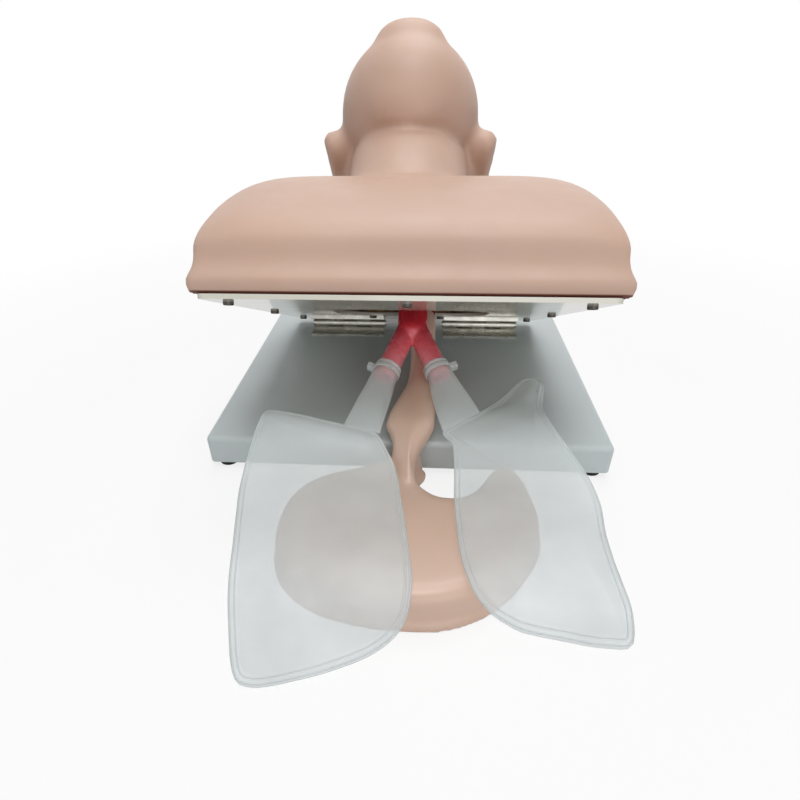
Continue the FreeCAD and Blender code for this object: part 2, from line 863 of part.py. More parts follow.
def make_bronchi():
    split = fork()
    top = trunk_top()
    back = tipped_branch() * -2
    outer = [rod(split, top, bronchus_trunk), Part.makeSphere(bronchus_trunk, split)]
    inner = [rod(split, top + back, bronchus_trunk - bronchus_wall)]
    for index in (0, 1):
        hip, tip = leg_axis(index)
        run = (tip - hip).normalize()
        outer.append(rod(hip, tip, bronchus_leg))
        inner.append(rod(hip, tip + run * 2, bronchus_leg - bronchus_wall))
    return fuse(outer).cut(fuse(inner))


def sleeve_frame(index):
    """Tip of a bronchus, and the direction it runs in."""
    hip, tip = leg_axis(index)
    return tip, (tip - hip).normalize()


def make_tie(index):
    tip, run = sleeve_frame(index)
    start = tip - run * (tie_setback + tie_width)
    inner = bronchus_leg + neck_sleeve_wall + 0.1
    outer = inner + tie_thickness
    band = Part.makeCylinder(outer, tie_width, start, run)
    band = band.cut(Part.makeCylinder(inner, tie_width, start, run))
    outward = -1 if index == 0 else 1
    side = Vector(outward, 0, 0)
    side = (side - run * side.dot(run)).normalize()
    up = run.cross(side)
    head = Part.makeBox(tie_head, tie_head, tie_width + 2)
    head.Placement = FreeCAD.Placement(
        start + side * (outer - 0.8) - up * (tie_head / 2) - run * 1.0,
        FreeCAD.Rotation(side, up, run, "ZXY"),
    )
    return fuse([band, head])


def lung_profile(offset):
    return [(y, z + tray_top + offset) for y, z in lung_drape]


def drape_solid():
    """A thick sheet over the tray's front edge, as wide as both lungs."""
    top = [Vector(-200, y, z) for y, z in lung_profile(0.0)]
    low = [Vector(-200, y, z) for y, z in lung_profile(-lung_thickness)]
    upper = Part.BSplineCurve()
    upper.interpolate(top)
    lower = Part.BSplineCurve()
    lower.interpolate(low)
    edges = [
        upper.toShape(),
        Part.makeLine(top[-1], low[-1]),
        lower.toShape(),
        Part.makeLine(low[0], top[0]),
    ]
    face_ = Part.Face(Part.Wire(Part.sortEdges(edges)[0]))
    return face_.extrude(Vector(400, 0, 0))


def inset(points, distance):
    """Plan points moved inwards across the line through their neighbours."""
    moved = []
    for i, (x, y) in enumerate(points):
        before = points[i - 1]
        after = points[(i + 1) % len(points)]
        run = math.hypot(after[0] - before[0], after[1] - before[1])
        across = ((after[1] - before[1]) / run, -(after[0] - before[0]) / run)
        moved.append((x - distance * across[0], y - distance * across[1]))
    return moved


def outline_wire(points, height):
    curve = Part.BSplineCurve()
    curve.interpolate([Vector(x, y, height) for x, y in points], PeriodicFlag=True)
    return Part.Wire([curve.toShape()])


def smooth_outline(points, low, high):
    """A closed smooth outline in plan, raised from low to high."""
    return Part.Face(outline_wire(points, low)).extrude(Vector(0, 0, high - low))


def make_lung(index):
    sheet = smooth_outline(lung_outlines[index], 0.5, 90).common(drape_solid())
    tip, run = sleeve_frame(index)
    outer = bronchus_leg + neck_sleeve_wall
    start = tip - run * 14.0
    sleeve = Part.makeCylinder(outer, 13.0, start, run)
    foot = Vector(*on_tray(lung_neck_foot[index]))
    rings = []
    for share, wide, high in ((0.0, outer, outer), (0.35, outer + 2, outer - 2.5), (1.0, lung_foot_reach[index], 4.6)):
        centre = (start + run * 13.0) * (1 - share) + foot * share
        heading = run if share == 0 else (foot - start).normalize()
        ring = Part.Ellipse(Vector(0, 0, 0), wide, high) if wide > high else Part.Circle(Vector(0, 0, 0), AXIS_Z, wide)
        ring = ring.toShape()
        sideways = AXIS_Z.cross(heading).normalize()
        ring.Placement = FreeCAD.Placement(centre, FreeCAD.Rotation(sideways, heading.cross(sideways), heading, "ZXY"))
        rings.append(Part.Wire([ring]))
    neck = Part.makeLoft(rings, True, False)
    bore = Part.makeCylinder(bronchus_leg + 0.05, 15.0, start - run * 1.0, run)
    whole = sheet.fuse(neck).fuse(sleeve).cut(bore)
    return max(whole.Solids, key=lambda solid: solid.Volume)


def make_stomach():
    """A blow-moulded bag with a rim at the table, and its gullet tube in one with it."""
    sections = []
    for step in range(6):
        angle = math.pi / 2 * step / 5
        inwards = stomach_round * (1 - math.cos(angle))
        height = stomach_height - stomach_round * (1 - math.sin(angle))
        sections.append(outline_wire(inset(stomach_outline, inwards), height))
    wall = smooth_outline(stomach_outline, 0.0, stomach_height - stomach_round)
    crown = Part.makeLoft(sections, True, False)
    rim = smooth_outline(inset(stomach_outline, -stomach_rim), 0.0, stomach_rim_height)
    start = tipped_point(branch_mouth(gullet_mouth, gullet_side)) + tipped_branch() * FIT
    route = [start, start + tipped_branch() * gullet_tube_lead]
    route += [Vector(*on_tray(p)) for p in gullet_route]
    tube = sweep(route, gullet_tube_radius)
    flare = sweep([on_tray(p) for p in flare_route], flare_radius)
    trim = box((-60, -tray_front - FIT, 0), (60, -tray_front + 30, tray_top))
    return fuse([fuse([wall, crown, rim]).cut(trim), tube, flare])


def build():
    parts = {
        "base_tray": make_tray(),
        "rubber_feet": make_feet(),
        "foot_screws": make_foot_screws(),
        "foot_nuts": make_foot_nuts(),
        "hinge_base_screws": make_base_screws(),
        "hinge_base_nuts": make_base_nuts(),
        "bronchi": make_bronchi(),
        "stomach": make_stomach(),
    }
    for index, side in enumerate(("left", "right")):
        parts["lung_" + side] = make_lung(index)
        parts["cable_tie_" + side] = make_tie(index)
    for side, centre in hinge_centres().items():
        parts["hinge_base_leaf_" + side] = hinge_leaf(centre, 0, -1, pin_radius)
        parts["hinge_pin_" + side] = make_pin(centre)
    closed = {
        "bust_plate": make_plate(),
        "bust_screws": make_bust_screws(),
        "rim_battens": make_battens(),
        "hinge_plate_screws": make_plate_screws(),
        "hinge_plate_nuts": make_plate_nuts(),
        "bust_skin": make_bust_skin(),
        "skull": make_skull(),
        "head_saddle": make_saddle(),
        "saddle_screws": make_saddle_screws(),
        "palate": make_palate(),
        "upper_teeth": make_upper_teeth(),
        "lower_teeth": make_lower_teeth(),
        "lower_jaw": make_lower_jaw(),
        "tongue": make_tongue(),
        "larynx": make_larynx(),
        "windpipe": make_windpipe(),
        "gullet": make_gullet(),
    }
    for side, centre in hinge_centres().items():
        closed["hinge_plate_leaf_" + side] = hinge_leaf(centre, 1, 1, pin_radius + PIN_FIT)
    for name, shape in closed.items():
        parts[name] = tip_open(shape)
    for shape in parts.values():
        shape.translate(Vector(0, origin_shift, 0))
    return parts


def main():
    os.makedirs("parts", exist_ok=True)
    parts = build()
    for name, shape in parts.items():
        shape.exportStep("parts/" + name + ".step")
        box_ = shape.BoundBox
        print(
            name, len(shape.Solids), shape.isValid(), round(shape.Volume),
            [round(v, 1) for v in (box_.XMin, box_.XMax, box_.YMin, box_.YMax, box_.ZMin, box_.ZMax)],
        )


if __name__ == "__main__":
    main()
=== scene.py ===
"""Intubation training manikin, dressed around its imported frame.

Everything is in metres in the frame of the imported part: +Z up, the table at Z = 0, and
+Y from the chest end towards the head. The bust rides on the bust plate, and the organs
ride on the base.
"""
import json
import math

import bmesh
import bpy
import numpy as np
from mathutils import Matrix, Vector, noise


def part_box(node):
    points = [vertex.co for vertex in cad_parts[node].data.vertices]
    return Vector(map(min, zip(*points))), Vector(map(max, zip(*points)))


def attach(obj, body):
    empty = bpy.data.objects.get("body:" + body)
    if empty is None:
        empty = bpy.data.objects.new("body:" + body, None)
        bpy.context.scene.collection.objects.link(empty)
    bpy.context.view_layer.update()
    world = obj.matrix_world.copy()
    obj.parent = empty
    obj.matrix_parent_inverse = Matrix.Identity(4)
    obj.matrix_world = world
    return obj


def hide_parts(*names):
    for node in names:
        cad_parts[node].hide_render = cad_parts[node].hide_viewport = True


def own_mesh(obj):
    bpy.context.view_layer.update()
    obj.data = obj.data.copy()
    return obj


bl_info = {
    "name": "Intubation Manikin",
    "version": (1, 0, 0),
    "blender": (4, 5, 0),
    "location": "View3D > Sidebar > Manikin",
    "description": "Soft bust, film lungs, stomach, airway and finishes on the manikin's frame",
    "category": "Object",
}

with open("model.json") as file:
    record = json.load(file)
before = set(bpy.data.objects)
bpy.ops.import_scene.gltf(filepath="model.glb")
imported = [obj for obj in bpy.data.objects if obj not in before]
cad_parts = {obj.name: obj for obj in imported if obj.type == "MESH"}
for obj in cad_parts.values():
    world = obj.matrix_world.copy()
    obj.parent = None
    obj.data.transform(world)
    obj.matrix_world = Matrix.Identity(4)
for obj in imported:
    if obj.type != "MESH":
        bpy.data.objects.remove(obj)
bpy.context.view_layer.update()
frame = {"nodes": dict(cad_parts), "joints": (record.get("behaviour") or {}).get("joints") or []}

MM = 0.001
UP = Vector((0, 0, 1))
SIDES = ("left", "right")
HINGE = Vector(frame["joints"][0]["pos_m"])
OPEN_ANGLE = math.radians(frame["joints"][0]["range_deg"][1])
TRAY_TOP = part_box("base_tray")[1].z
HEAD_TILT = math.radians(22)
# Closed bust: x, minus the distance forward of the hinges, height over the pins
BUST = Matrix.Translation(HINGE) @ Matrix.Rotation(-OPEN_ANGLE, 4, "X")
# Head: x, up the head, out of the face, all from the middle between the ears
HEAD = BUST @ Matrix.Translation((-0.007, -0.066, 0.166)) @ Matrix.Rotation(-HEAD_TILT, 4, "X")
NECK_ENDS = ((-7, -152, 72), (-7, -84, 161))
NECK_RADIUS = 59
HEAD_FORMS = (((69, 78, 62), (0, -32, 27)), ((50, 34, 50), (0, -72, 22)))
PLATE_NORMAL = (BUST.to_3x3() @ UP).normalized()
# The closed plate reaches this far forward of the hinges, and the stomach is cut just before it
STOMACH_CUT = 0.318


def linear(red, green, blue):
    """A colour as a screen shows it, 0 to 255, as the shader wants it."""
    shown = [value / 255 for value in (red, green, blue)]
    return tuple(((v + 0.055) / 1.055) ** 2.4 if v > 10 / 255 else v / 12.92 for v in shown)


class ManikinSizes(bpy.types.PropertyGroup):
    skin_voxel: bpy.props.FloatProperty(
        name="Skin mesh size", description="Length of the soft bust's mesh cells", default=0.003,
        min=0.002, unit="LENGTH",
    )
    skin_smoothing: bpy.props.IntProperty(
        name="Skin smoothing", description="Rounds of smoothing on the soft bust", default=34, min=0,
    )
    lip_bulge: bpy.props.FloatProperty(
        name="Rim roll", description="How far the skin's bottom rim rolls out", default=0.0035,
        unit="LENGTH",
    )
    throat_crease: bpy.props.FloatProperty(
        name="Throat crease", description="Depth of the crease between neck and jaw", default=0.0022,
        unit="LENGTH",
    )
    film_weld: bpy.props.FloatProperty(
        name="Weld width", description="Distance between the two welded lines round a lung",
        default=0.0036, unit="LENGTH",
    )
    film_fill: bpy.props.FloatProperty(
        name="Lung fill", description="Thickness of a lung between its two films", default=0.005,
        unit="LENGTH",
    )
    stomach_voxel: bpy.props.FloatProperty(
        name="Stomach mesh size", description="Length of the stomach's mesh cells", default=0.002,
        min=0.001, unit="LENGTH",
    )
    airway_voxel: bpy.props.FloatProperty(
        name="Airway mesh size", description="Length of the forked airway's mesh cells",
        default=0.0009, min=0.0005, unit="LENGTH",
    )


def colour_property(name, description, default):
    return bpy.props.FloatVectorProperty(
        name=name, description=description, subtype="COLOR", size=3, min=0, max=1, default=default,
    )


class ManikinColours(bpy.types.PropertyGroup):
    skin: colour_property("Skin", "Vinyl of the bust", linear(202, 170, 152))
    tray: colour_property("Tray", "Paint of the tray", linear(196, 204, 205))
    plate: colour_property("Plate", "Gloss plastic of the bust plate", linear(216, 213, 200))
    silicone: colour_property("Silicone", "Forked airway", linear(236, 56, 70))
    stomach: colour_property("Stomach", "Vinyl of the stomach", linear(208, 178, 160))
    film: colour_property("Film", "Milky film of the lungs", linear(236, 243, 244))


def sizes():
    return bpy.context.scene.manikin_sizes


def colours():
    return bpy.context.scene.manikin_colours


# Finishes

# How far red, green and blue light spreads in the vinyl
VINYL_SCATTER = (0.01, 0.004, 0.002)
# Height of the skin's bottom rim over the hinge line, and how far up its dark edge fades
RIM_HEIGHT = 0.0091
RIM_FADE = 0.004
# Along Z: painted light and shade on the forked airway, pale on its low legs where the light reaches
# and deep red up its trunk in the plate's shade
AIRWAY_PAINTED_LIGHT = (0.060, 0.102)
# Along Y: where painted light makes the stomach's tube, which lies in the bust's shade, paler than
# its body
TUBE_PAINTED_LIGHT = (-0.14, -0.06)
# Along Y: where painted shade darkens the lungs' sheets and gives way to their necks, painted
# lighter where they lie in the bust's shade
FILM_PAINTED_LIGHT = (-0.20, -0.08)
# Part of the lamps' light that one film lets through
FILM_SHADOW_PASSED = 0.95


class Finish:
    """A node material on Object coordinates, with one shader and a few helpers."""

    def __init__(self, name):
        self.material = bpy.data.materials.new(name)
        self.material.use_nodes = True
        self.tree = self.material.node_tree
        self.tree.nodes.clear()
        self.out = self.node("ShaderNodeOutputMaterial")
        self.shader = self.node("ShaderNodeBsdfPrincipled")
        self.link(self.shader.outputs[0], self.out.inputs[0])
        self.place = self.node("ShaderNodeTexCoord").outputs["Object"]

    def node(self, kind, **values):
        made = self.tree.nodes.new(kind)
        for key, value in values.items():
            setattr(made, key, value)
        return made

    def link(self, start, end):
        self.tree.links.new(start, end)

    def set(self, **values):
        for key, value in values.items():
            self.shader.inputs[key.replace("_", " ")].default_value = value
        return self

    def along(self, direction, start, end):
        """How far a place lies between two distances along a direction, 0 to 1."""
        dot = self.node("ShaderNodeVectorMath", operation="DOT_PRODUCT")
        dot.inputs[1].default_value = direction
        self.link(self.place, dot.inputs[0])
        made = self.node("ShaderNodeMapRange")
        made.inputs["From Min"].default_value = start
        made.inputs["From Max"].default_value = end
        self.link(dot.outputs["Value"], made.inputs["Value"])
        return made.outputs[0]

    def noise(self, scale, detail=4.0, stretch=None):
        place = self.place
        if stretch:
            turned = self.node("ShaderNodeMapping")
            turned.inputs["Scale"].default_value = stretch
            self.link(place, turned.inputs[0])
            place = turned.outputs[0]
        made = self.node("ShaderNodeTexNoise")
        made.inputs["Scale"].default_value = scale
        made.inputs["Detail"].default_value = detail
        self.link(place, made.inputs["Vector"])
        return made.outputs["Fac"]

    def ramp(self, source, *stops):
        made = self.node("ShaderNodeValToRGB")
        elements = made.color_ramp.elements
        while len(elements) < len(stops):
            elements.new(0.5)
        for element, (position, value) in zip(elements, stops):
            element.position = position
            element.color = (*value, 1) if hasattr(value, "__len__") else (value, value, value, 1)
        self.link(source, made.inputs[0])
        return made.outputs[0]

    def mix(self, share, first, second):
        made = self.node("ShaderNodeMix", data_type="RGBA")
        for index, value in ((0, share), (6, first), (7, second)):
            socket = made.inputs[index]
            if isinstance(value, bpy.types.NodeSocket):
                self.link(value, socket)
            elif hasattr(value, "__len__"):
                socket.default_value = (*value, 1)
            else:
                socket.default_value = value
        return made.outputs[2]

    def bump(self, height, strength, distance):
        made = self.node("ShaderNodeBump")
        made.inputs["Strength"].default_value = strength
        made.inputs["Distance"].default_value = distance
        self.link(height, made.inputs["Height"])
        self.link(made.outputs[0], self.shader.inputs["Normal"])
        return made

    def blended(self, share, other):
        """The shader gives way to another one by a share."""
        both = self.node("ShaderNodeMixShader")
        self.link(share.outputs[0], both.inputs[0])
        self.link(self.shader.outputs[0], both.inputs[1])
        self.link(other.outputs[0], both.inputs[2])
        self.link(both.outputs[0], self.out.inputs[0])

    def colour(self, source):
        self.link(source, self.shader.inputs["Base Color"])

    def rough(self, source):
        self.link(source, self.shader.inputs["Roughness"])


def shade(colour, amount):
    """A colour made darker or lighter."""
    return tuple(min(1.0, c * amount) for c in colour)


def skin_finish():
    f = Finish("skin_vinyl")
    base = colours().skin
    blotch = f.ramp(f.noise(9, 3), (0.35, shade(base, 0.955)), (0.65, shade(base, 1.03)))
    warm = tuple(c * k for c, k in zip(base, (0.96, 0.86, 0.82)))
    plain = f.mix(f.ramp(f.noise(26, 5), (0.5, 0.0), (0.8, 0.35)), blotch, warm)
    floor = HINGE.dot(PLATE_NORMAL) + RIM_HEIGHT
    rim = f.ramp(f.along(PLATE_NORMAL, floor, floor + RIM_FADE), (0.40, 1.0), (0.62, 0.0))
    f.colour(f.mix(rim, plain, linear(96, 44, 30)))
    f.rough(f.ramp(f.noise(60, 3), (0.3, 0.40), (0.7, 0.50)))
    f.bump(f.noise(900, 3), 0.12, 0.0004)
    return f.set(Specular_IOR_Level=0.42, Subsurface_Weight=0.12, Subsurface_Scale=0.4,
                 Subsurface_Radius=VINYL_SCATTER).material


def tray_finish():
    f = Finish("tray_paint")
    base = colours().tray
    f.colour(f.ramp(f.noise(14, 4), (0.3, shade(base, 0.97)), (0.7, shade(base, 1.02))))
    f.rough(f.ramp(f.noise(40, 3), (0.3, 0.38), (0.7, 0.46)))
    f.bump(f.noise(420, 2), 0.10, 0.0004)
    return f.set(Specular_IOR_Level=0.4).material


def plate_finish():
    f = Finish("plate_white")
    base = colours().plate
    f.colour(f.ramp(f.noise(10, 2), (0.3, shade(base, 0.98)), (0.7, base)))
    f.rough(f.ramp(f.noise(30, 3), (0.3, 0.06), (0.7, 0.12)))
    f.bump(f.noise(12, 2), 0.05, 0.001)
    return f.set(Specular_IOR_Level=0.6, Coat_Weight=0.4, Coat_Roughness=0.04).material


def metal_finish(name, colour, roughness, grain=(1, 1, 12)):
    f = Finish(name)
    f.colour(f.ramp(f.noise(160, 4), (0.3, shade(colour, 0.82)), (0.7, colour)))
    f.rough(f.ramp(f.noise(60, 5, grain), (0.3, roughness * 0.75), (0.7, roughness * 1.3)))
    f.bump(f.noise(300, 3, grain), 0.06, 0.0001)
    return f.set(Metallic=1.0).material


def silicone_finish():
    f = Finish("crimson_silicone")
    base = colours().silicone
    # Painted light and shade: the airway is painted paler low down and deep red higher up
    painted_light_tone = f.ramp(f.along(UP, *AIRWAY_PAINTED_LIGHT), (0.0, linear(252, 196, 202)),
                  (0.30, linear(254, 156, 164)), (0.62, linear(254, 114, 126)), (1.0, base))
    f.colour(f.mix(f.ramp(f.noise(22, 3), (0.4, 0.0), (0.8, 0.15)), painted_light_tone, linear(250, 160, 166)))
    f.rough(f.ramp(f.noise(90, 3), (0.3, 0.20), (0.7, 0.34)))
    f.bump(f.noise(160, 3), 0.12, 0.0006)
    return f.set(Subsurface_Weight=0.5, Subsurface_Radius=(0.012, 0.003, 0.003),
                 Subsurface_Scale=0.6, Coat_Weight=0.25, Coat_Roughness=0.12).material


def stomach_finish():
    f = Finish("stomach_vinyl")
    base = colours().stomach
    body = f.ramp(f.noise(16, 4), (0.3, shade(base, 0.96)), (0.7, shade(base, 1.03)))
    # Painted light: the tube, the same vinyl as the body, is painted paler
    f.colour(f.mix(f.along((0, 1, 0), *TUBE_PAINTED_LIGHT), body, shade(base, 1.4)))
    f.rough(f.ramp(f.noise(50, 3), (0.3, 0.28), (0.7, 0.38)))
    f.bump(f.noise(220, 3), 0.08, 0.0005)
    return f.set(Subsurface_Weight=0.15, Subsurface_Scale=0.4, Specular_IOR_Level=0.5,
                 Subsurface_Radius=VINYL_SCATTER).material


def film_finish(name, alpha):
    f = Finish(name)
    base = colours().film
    # Painted light and shade: the sheets are painted darker than the film, and the necks keep its
    # full colour
    sheet = f.ramp(f.noise(30, 4), (0.3, shade(base, 0.63)), (0.7, shade(base, 0.70)))
    f.colour(f.mix(f.along((0, 1, 0), *FILM_PAINTED_LIGHT), sheet, base))
    f.rough(f.ramp(f.noise(80, 4), (0.3, 0.34), (0.7, 0.46)))
    f.bump(f.noise(140, 4), 0.18, 0.0006)
    clear = f.node("ShaderNodeBsdfTransparent")
    path = f.node("ShaderNodeLightPath")
    passed = f.node("ShaderNodeMath", operation="MULTIPLY")
    passed.inputs[1].default_value = FILM_SHADOW_PASSED
    f.link(path.outputs["Is Shadow Ray"], passed.inputs[0])
    f.blended(passed, clear)
    return f.set(Alpha=alpha, Coat_Weight=0.2, Coat_Roughness=0.3).material


def plain_finish(name, colour, roughness, grain=400, depth=0.1, **values):
    f = Finish(name)
    f.colour(f.ramp(f.noise(40, 4), (0.3, shade(colour, 0.93)), (0.7, shade(colour, 1.04))))
    f.rough(f.ramp(f.noise(90, 3), (0.3, roughness * 0.85), (0.7, min(1.0, roughness * 1.15))))
    f.bump(f.noise(grain, 3), depth, 0.0005)
    return f.set(**values).material


def wood_finish():
    f = Finish("batten_wood")
    dark, light = linear(150, 112, 72), linear(196, 158, 112)
    f.colour(f.ramp(f.noise(30, 6, (9, 1, 9)), (0.3, dark), (0.7, light)))
    f.rough(f.ramp(f.noise(60, 3), (0.3, 0.55), (0.7, 0.7)))
    f.bump(f.noise(60, 6, (9, 1, 9)), 0.3, 0.0005)
    return f.material


def dress(node, material):
    """A CAD node keeps its mesh and gets one finish."""
    mesh = frame["nodes"][node].data
    mesh.materials.clear()
    mesh.materials.append(material)


def round_edges(node, width, segments=2):
    piece = frame["nodes"][node]
    weld = piece.modifiers.new("weld", "WELD")
    weld.merge_threshold = 0.00002
    bevel = piece.modifiers.new("edges", "BEVEL")
    bevel.width = width
    bevel.segments = segments
    bevel.limit_method = "ANGLE"
    bevel.angle_limit = math.radians(40)
    bevel.harden_normals = False


# Meshes


def new_piece(name, mesh, material):
    piece = bpy.data.objects.new(name, mesh)
    bpy.context.scene.collection.objects.link(piece)
    mesh.materials.clear()
    mesh.materials.append(material)
    for polygon in mesh.polygons:
        polygon.use_smooth = True
    return piece


def applied(piece):
    """The piece's mesh with its modifiers worked in."""
    bpy.context.view_layer.update()
    made = piece.evaluated_get(bpy.context.evaluated_depsgraph_get())
    return bpy.data.meshes.new_from_object(made)


def cad_copy(node, voxel):
    """A copy of a CAD solid as an even mesh: merged, then remeshed in cells of one size."""
    bm = bmesh.new()
    bm.from_mesh(frame["nodes"][node].data)
    bmesh.ops.remove_doubles(bm, verts=bm.verts, dist=0.00001)
    mesh = bpy.data.meshes.new("copy")
    bm.to_mesh(mesh)
    bm.free()
    piece = bpy.data.objects.new("copy", mesh)
    bpy.context.scene.collection.objects.link(piece)
    remesh = piece.modifiers.new("cells", "REMESH")
    remesh.mode = "VOXEL"
    remesh.voxel_size = voxel
    made = applied(piece)
    bpy.data.objects.remove(piece)
    return made


def smoothed(mesh, rounds, weights=None, level=False):
    """Evens a mesh out, at each point by its weight; level keeps the heights."""
    piece = bpy.data.objects.new("smoothing", mesh)
    bpy.context.scene.collection.objects.link(piece)
    smooth = piece.modifiers.new("smooth", "SMOOTH")
    smooth.factor = 0.5
    smooth.iterations = rounds
    smooth.use_z = not level
    if weights is not None:
        group = piece.vertex_groups.new(name="soft")
        for step in range(1, 11):
            chosen = np.nonzero((weights > (step - 1) / 10) & (weights <= step / 10))[0]
            group.add(chosen.tolist(), step / 10, "REPLACE")
        smooth.vertex_group = group.name
    made = applied(piece)
    bpy.data.objects.remove(piece)
    return made


def points_of(mesh):
    co = np.empty(len(mesh.vertices) * 3)
    mesh.vertices.foreach_get("co", co)
    return co.reshape(-1, 3)


def normals_of(mesh):
    normal = np.empty(len(mesh.vertices) * 3)
    mesh.vertices.foreach_get("normal", normal)
    return normal.reshape(-1, 3)


def put_points(mesh, points):
    mesh.vertices.foreach_set("co", points.ravel())
    mesh.update()


def moved(points, matrix):
    m = np.array(matrix)
    return points @ m[:3, :3].T + m[:3, 3]


def bell(value, centre, width):
    return np.exp(-(((value - centre) / width) ** 2))


def blob(x, u, centre, width):
    return bell(x, centre[0], width[0]) * bell(u, centre[1], width[1])


# Bust

EYE_SIDE = 30
# Forms of the face in millimetres: depth, middle across and up, reach across and up
FACE_FORMS = (
    # Eye sockets, eyeballs, brows and the dip between them
    (-8.5, (30, 9), (17, 12)), (7.0, (30, 8), (12.5, 8.5)),
    (4.0, (28, 27), (21, 6.5)), (-2.0, (0, 22), (9, 8)),
    # Cheekbones and the hollows under them
    (3.0, (45, -14), (17, 15)), (-2.5, (40, -50), (14, 16)),
    # Tip and wings of the nose, and the groove under it
    (9.0, (0, -36), (8, 9)), (6.0, (12, -39), (5, 6)), (-1.6, (0, -51), (3, 5)),
    # Lips, the fold under them and the corners of the mouth
    (3.6, (0, -53), (19, 3.6)), (4.2, (0, -75), (17, 4.0)),
    (-3.0, (0, -82), (17, 4)), (-2.0, (27, -64), (4, 7)),
)


def facial_relief(side, up, out):
    """How far the face stands out at each place: a calm, plain face with closed eyes."""
    x = np.abs(side)
    front = np.clip((out - 20) / 30, 0, 1)
    depth = sum(amount * blob(x, up, middle, reach) for amount, middle, reach in FACE_FORMS)
    lid = np.clip(1.6 - np.abs(x - EYE_SIDE) / 9, 0, 1)
    depth += -3.2 * lid * bell(up, 3.0 + 0.016 * (x - EYE_SIDE) ** 2, 2.0)
    depth += -1.6 * lid * bell(up, 16.0 - 0.014 * (x - EYE_SIDE) ** 2, 2.2)
    return depth * front


def ear_relief(side, up, out):
    """Sideways moves that hollow the ear inside its rim."""
    x = np.abs(side)
    near = np.clip((x - 80) / 4, 0, 1)
    ring = ((up + 6) / 22) ** 2 + ((out + 2) / 12) ** 2
    return near * (-3.0 * np.exp(-ring * 1.8) + 1.2 * bell(ring, 1.2, 0.4))


def throat_line(closed, head, width):
    """How near each place lies to the line where the neck meets the jaw and the head."""
    low, high = np.array(NECK_ENDS)
    axis = (high - low) / np.linalg.norm(high - low)
    offset = closed - low
    offset -= (offset @ axis)[:, None] * axis
    neck = np.linalg.norm(offset, axis=1) - NECK_RADIUS
    above = np.full(len(head), np.inf)
    for half, centre in HEAD_FORMS:
        reach = np.linalg.norm((head - centre) / half, axis=1)
        above = np.minimum(above, (reach - 1) * min(half))
    return bell(neck, 0, width) * bell(above, 0, width)


def finer_face(mesh):
    """Halves the mesh cells over the face, so that lids and lips can be drawn."""
    head = moved(points_of(mesh), HEAD.inverted()) / MM
    front = (np.abs(head[:, 0]) < 54) & (head[:, 2] > 52)
    front &= (head[:, 1] > -92) & (head[:, 1] < 36)
    bm = bmesh.new()
    bm.from_mesh(mesh)
    edges = [e for e in bm.edges if front[e.verts[0].index] and front[e.verts[1].index]]
    bmesh.ops.subdivide_edges(bm, edges=edges, cuts=1, use_grid_fill=True)
    bm.to_mesh(mesh)
    bm.free()
    return mesh


def patch(head, middle, reach, depth):
    """A soft-edged patch on the middle of the face; depth says where it fades in and how."""
    across, up = reach
    ring = (head[:, 0] / across) ** 2 + ((head[:, 1] - middle) / up) ** 2
    return np.exp(-ring ** 2) * np.clip((head[:, 2] - depth[0]) / depth[1], 0, 1)


def smoothing_weights(closed, head, floor):
    """How much each place may be smoothed: less at the rim, ears, mouth, nose and throat."""
    above_chest = closed[:, 2] > 60
    ears = np.clip((np.abs(head[:, 0]) - 70) / 6, 0, 1)
    ears *= bell(np.hypot(head[:, 1] + 8, head[:, 2] + 2), 0, 44) * above_chest
    mouth = patch(head, -64, (34, 22), (55, 15))
    nose = patch(head, -28, (22, 26), (70, 12))
    throat = throat_line(closed, head, 11.0)
    weights = np.clip((closed[:, 2] - floor - 5) / 12, 0.0, 1.0)
    for place, kept in ((ears, 0.9), (mouth, 0.8), (nose, 0.75), (throat, 0.88)):
        weights *= 1 - kept * place
    return weights


def rim_roll(closed, normal, floor):
    """Sideways moves that roll the skin's rim out and hollow the skin over it."""
    outward = np.stack([closed[:, 0] / 150, (closed[:, 1] + 155) / 150], 1)
    flat = normal[:, :2]
    outer = np.clip((outward * flat).sum(1) * 1.6, 0, 1)
    height = closed[:, 2] - floor
    roll = sizes().lip_bulge / MM * bell(height, 9.0, 6.5) - 1.2 * bell(height, 25, 7)
    roll *= np.clip((-closed[:, 1] - 20) / 60, 0, 1)
    return flat * (outer * roll)[:, None]


def make_bust(material):
    s = sizes()
    mesh = cad_copy("bust_skin", s.skin_voxel)
    closed = moved(points_of(mesh), BUST.inverted()) / MM
    head = moved(points_of(mesh), HEAD.inverted()) / MM
    floor = closed[:, 2].min()
    weights = smoothing_weights(closed, head, floor)
    mesh = finer_face(smoothed(mesh, s.skin_smoothing, weights))
    head = moved(points_of(mesh), HEAD.inverted()) / MM
    in_head = np.clip((head[:, 2] + 60) / 20, 0, 1)
    head[:, 2] += facial_relief(head[:, 0], head[:, 1], head[:, 2]) * in_head
    head[:, 0] += np.sign(head[:, 0]) * ear_relief(head[:, 0], head[:, 1], head[:, 2])
    points = moved(head * MM, HEAD)
    put_points(mesh, points)
    closed = moved(points, BUST.inverted()) / MM
    points -= normals_of(mesh) * (s.throat_crease * throat_line(closed, head, 4.5))[:, None]
    put_points(mesh, points)
    closed = moved(points, BUST.inverted()) / MM
    normal = moved(normals_of(mesh), BUST.inverted().to_3x3().to_4x4())
    closed[:, :2] += rim_roll(closed, normal, floor)
    put_points(mesh, moved(closed * MM, BUST))
    piece = new_piece("bust_soft_skin", mesh, material)
    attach(piece, "bust")
    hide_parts("bust_skin")


class MANIKIN_OT_bust(bpy.types.Operator):
    """Soft vinyl bust with a calm, plain face"""

    bl_idname = "manikin.bust"
    bl_label = "Bust"

    def execute(self, context):
        make_bust(skin_finish())
        return {"FINISHED"}


# Lungs

HINGE_Y = HINGE.y / MM
